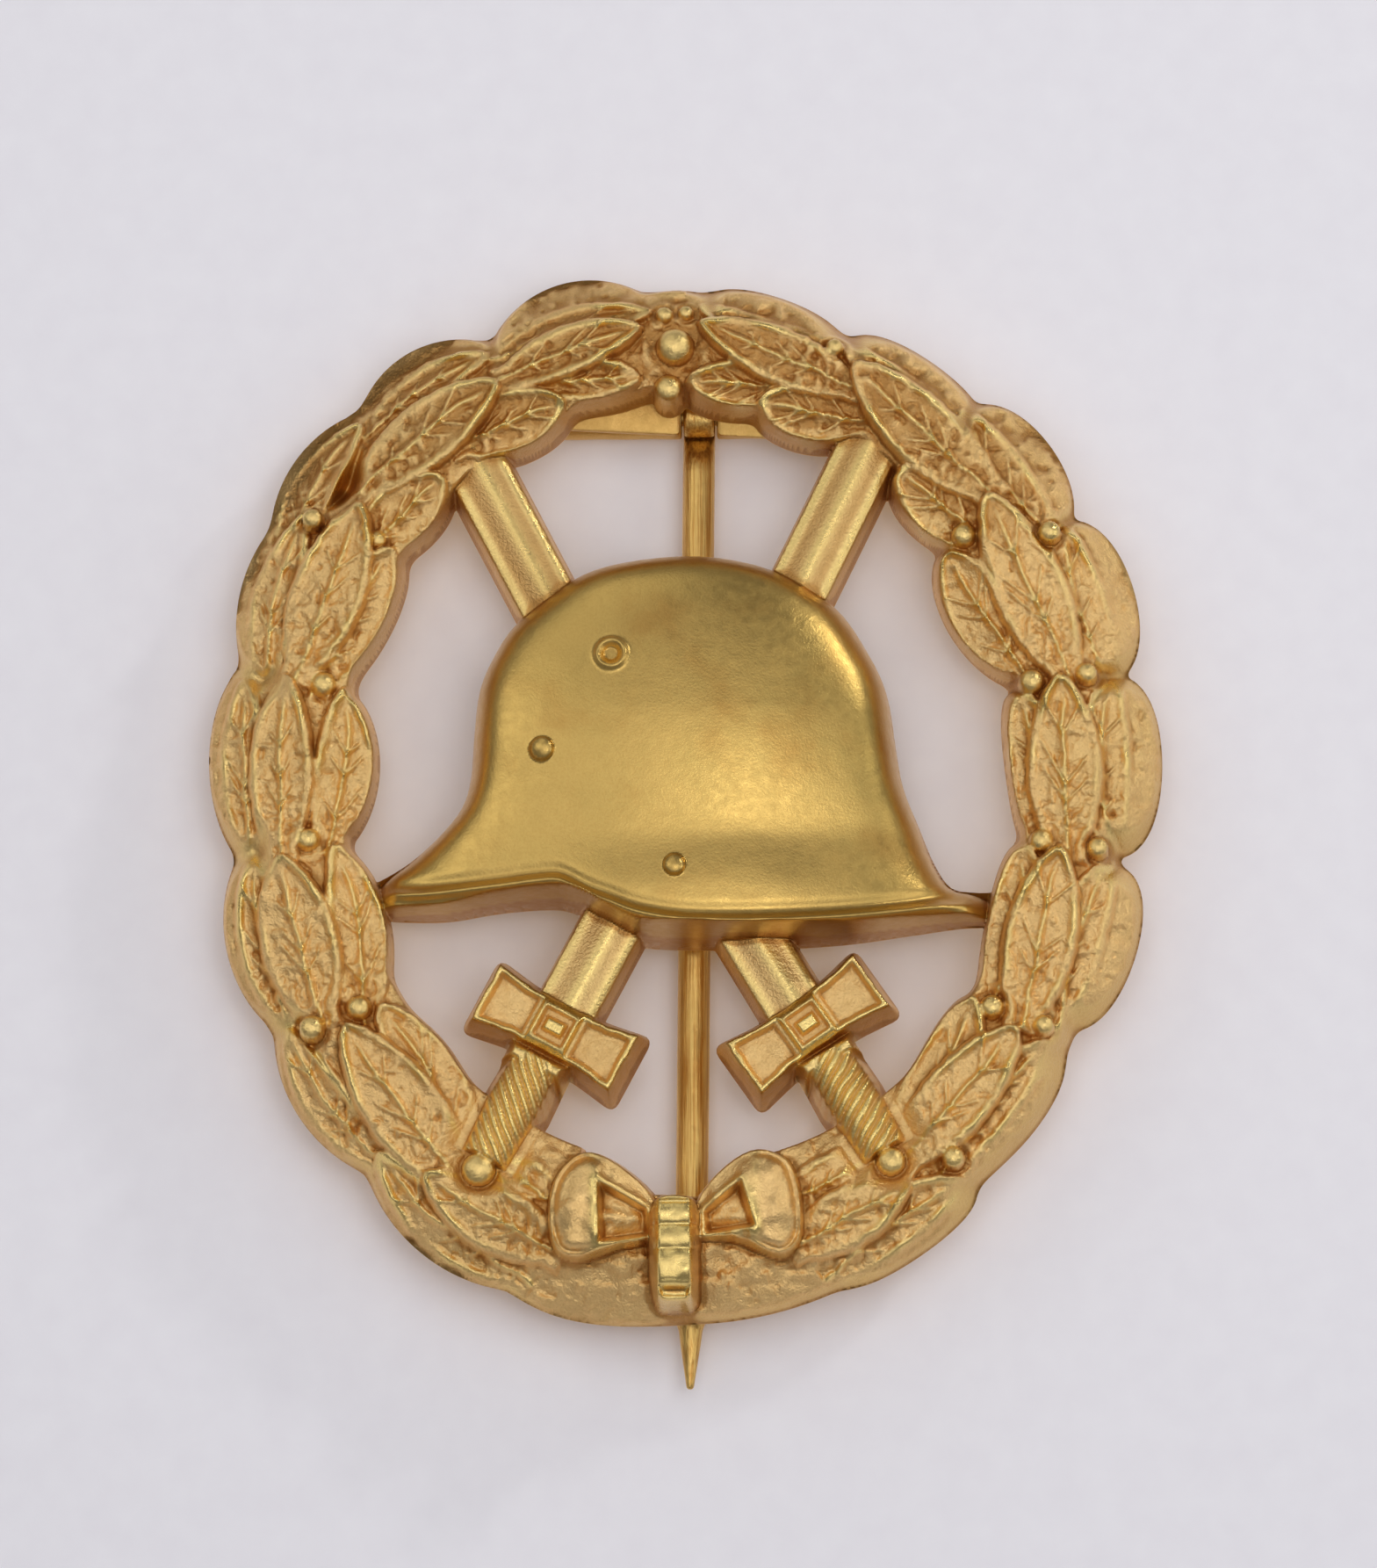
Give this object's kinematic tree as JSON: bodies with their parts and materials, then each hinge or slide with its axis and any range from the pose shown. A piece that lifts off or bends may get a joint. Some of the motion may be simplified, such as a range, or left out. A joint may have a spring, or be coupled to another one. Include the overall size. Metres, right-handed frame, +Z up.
{
  "type": "pin-back badge",
  "caption": "Pierced pin-back badge: a steel helmet over crossed swords in a laurel wreath tied with a bow, with a hinged needle and a hook behind.",
  "frame": {"origin": "centre of the wreath, in the plane of the badge's back rim, where the cloth lies", "axes": "-Y out of the badge's face, +Y behind it, +Z up to the crown of the wreath, +X to the right seen from the front"},
  "size_m": [0.04, 0.0075, 0.047],
  "materials": {
    "gilt": "matte fire gilding over struck tombak, brighter on the ridges",
    "burnished_gilt": "satin, burnished gilding with darker toning",
    "wire": "drawn wire, semi-bright, with fine lengthwise marks",
    "back_fitting": "gilt sheet, dull, with toning"
  },
  "bodies": {
    "badge": {"laurel_branch_left": "gilt", "laurel_branch_right": "gilt", "crown_berries": "gilt", "helmet": "burnished_gilt", "blade_upper_left": "gilt", "blade_upper_right": "gilt", "hilt_lower_left": "gilt", "hilt_lower_right": "gilt", "ribbon_bow": "burnished_gilt", "hinge_plate": "back_fitting", "hinge_barrel_left": "back_fitting", "hinge_barrel_right": "back_fitting", "hinge_axle": "wire", "catch_plate": "back_fitting", "catch_hook": "back_fitting"},
    "needle": {"needle": "wire"}
  },
  "joints": [
    {"name": "needle_hinge", "type": "hinge", "parent": "badge", "child": "needle", "pos_m": [0.0005, 0.00142, 0.01675], "axis": [1, 0, 0], "range_deg": [0, 180]}
  ]
}
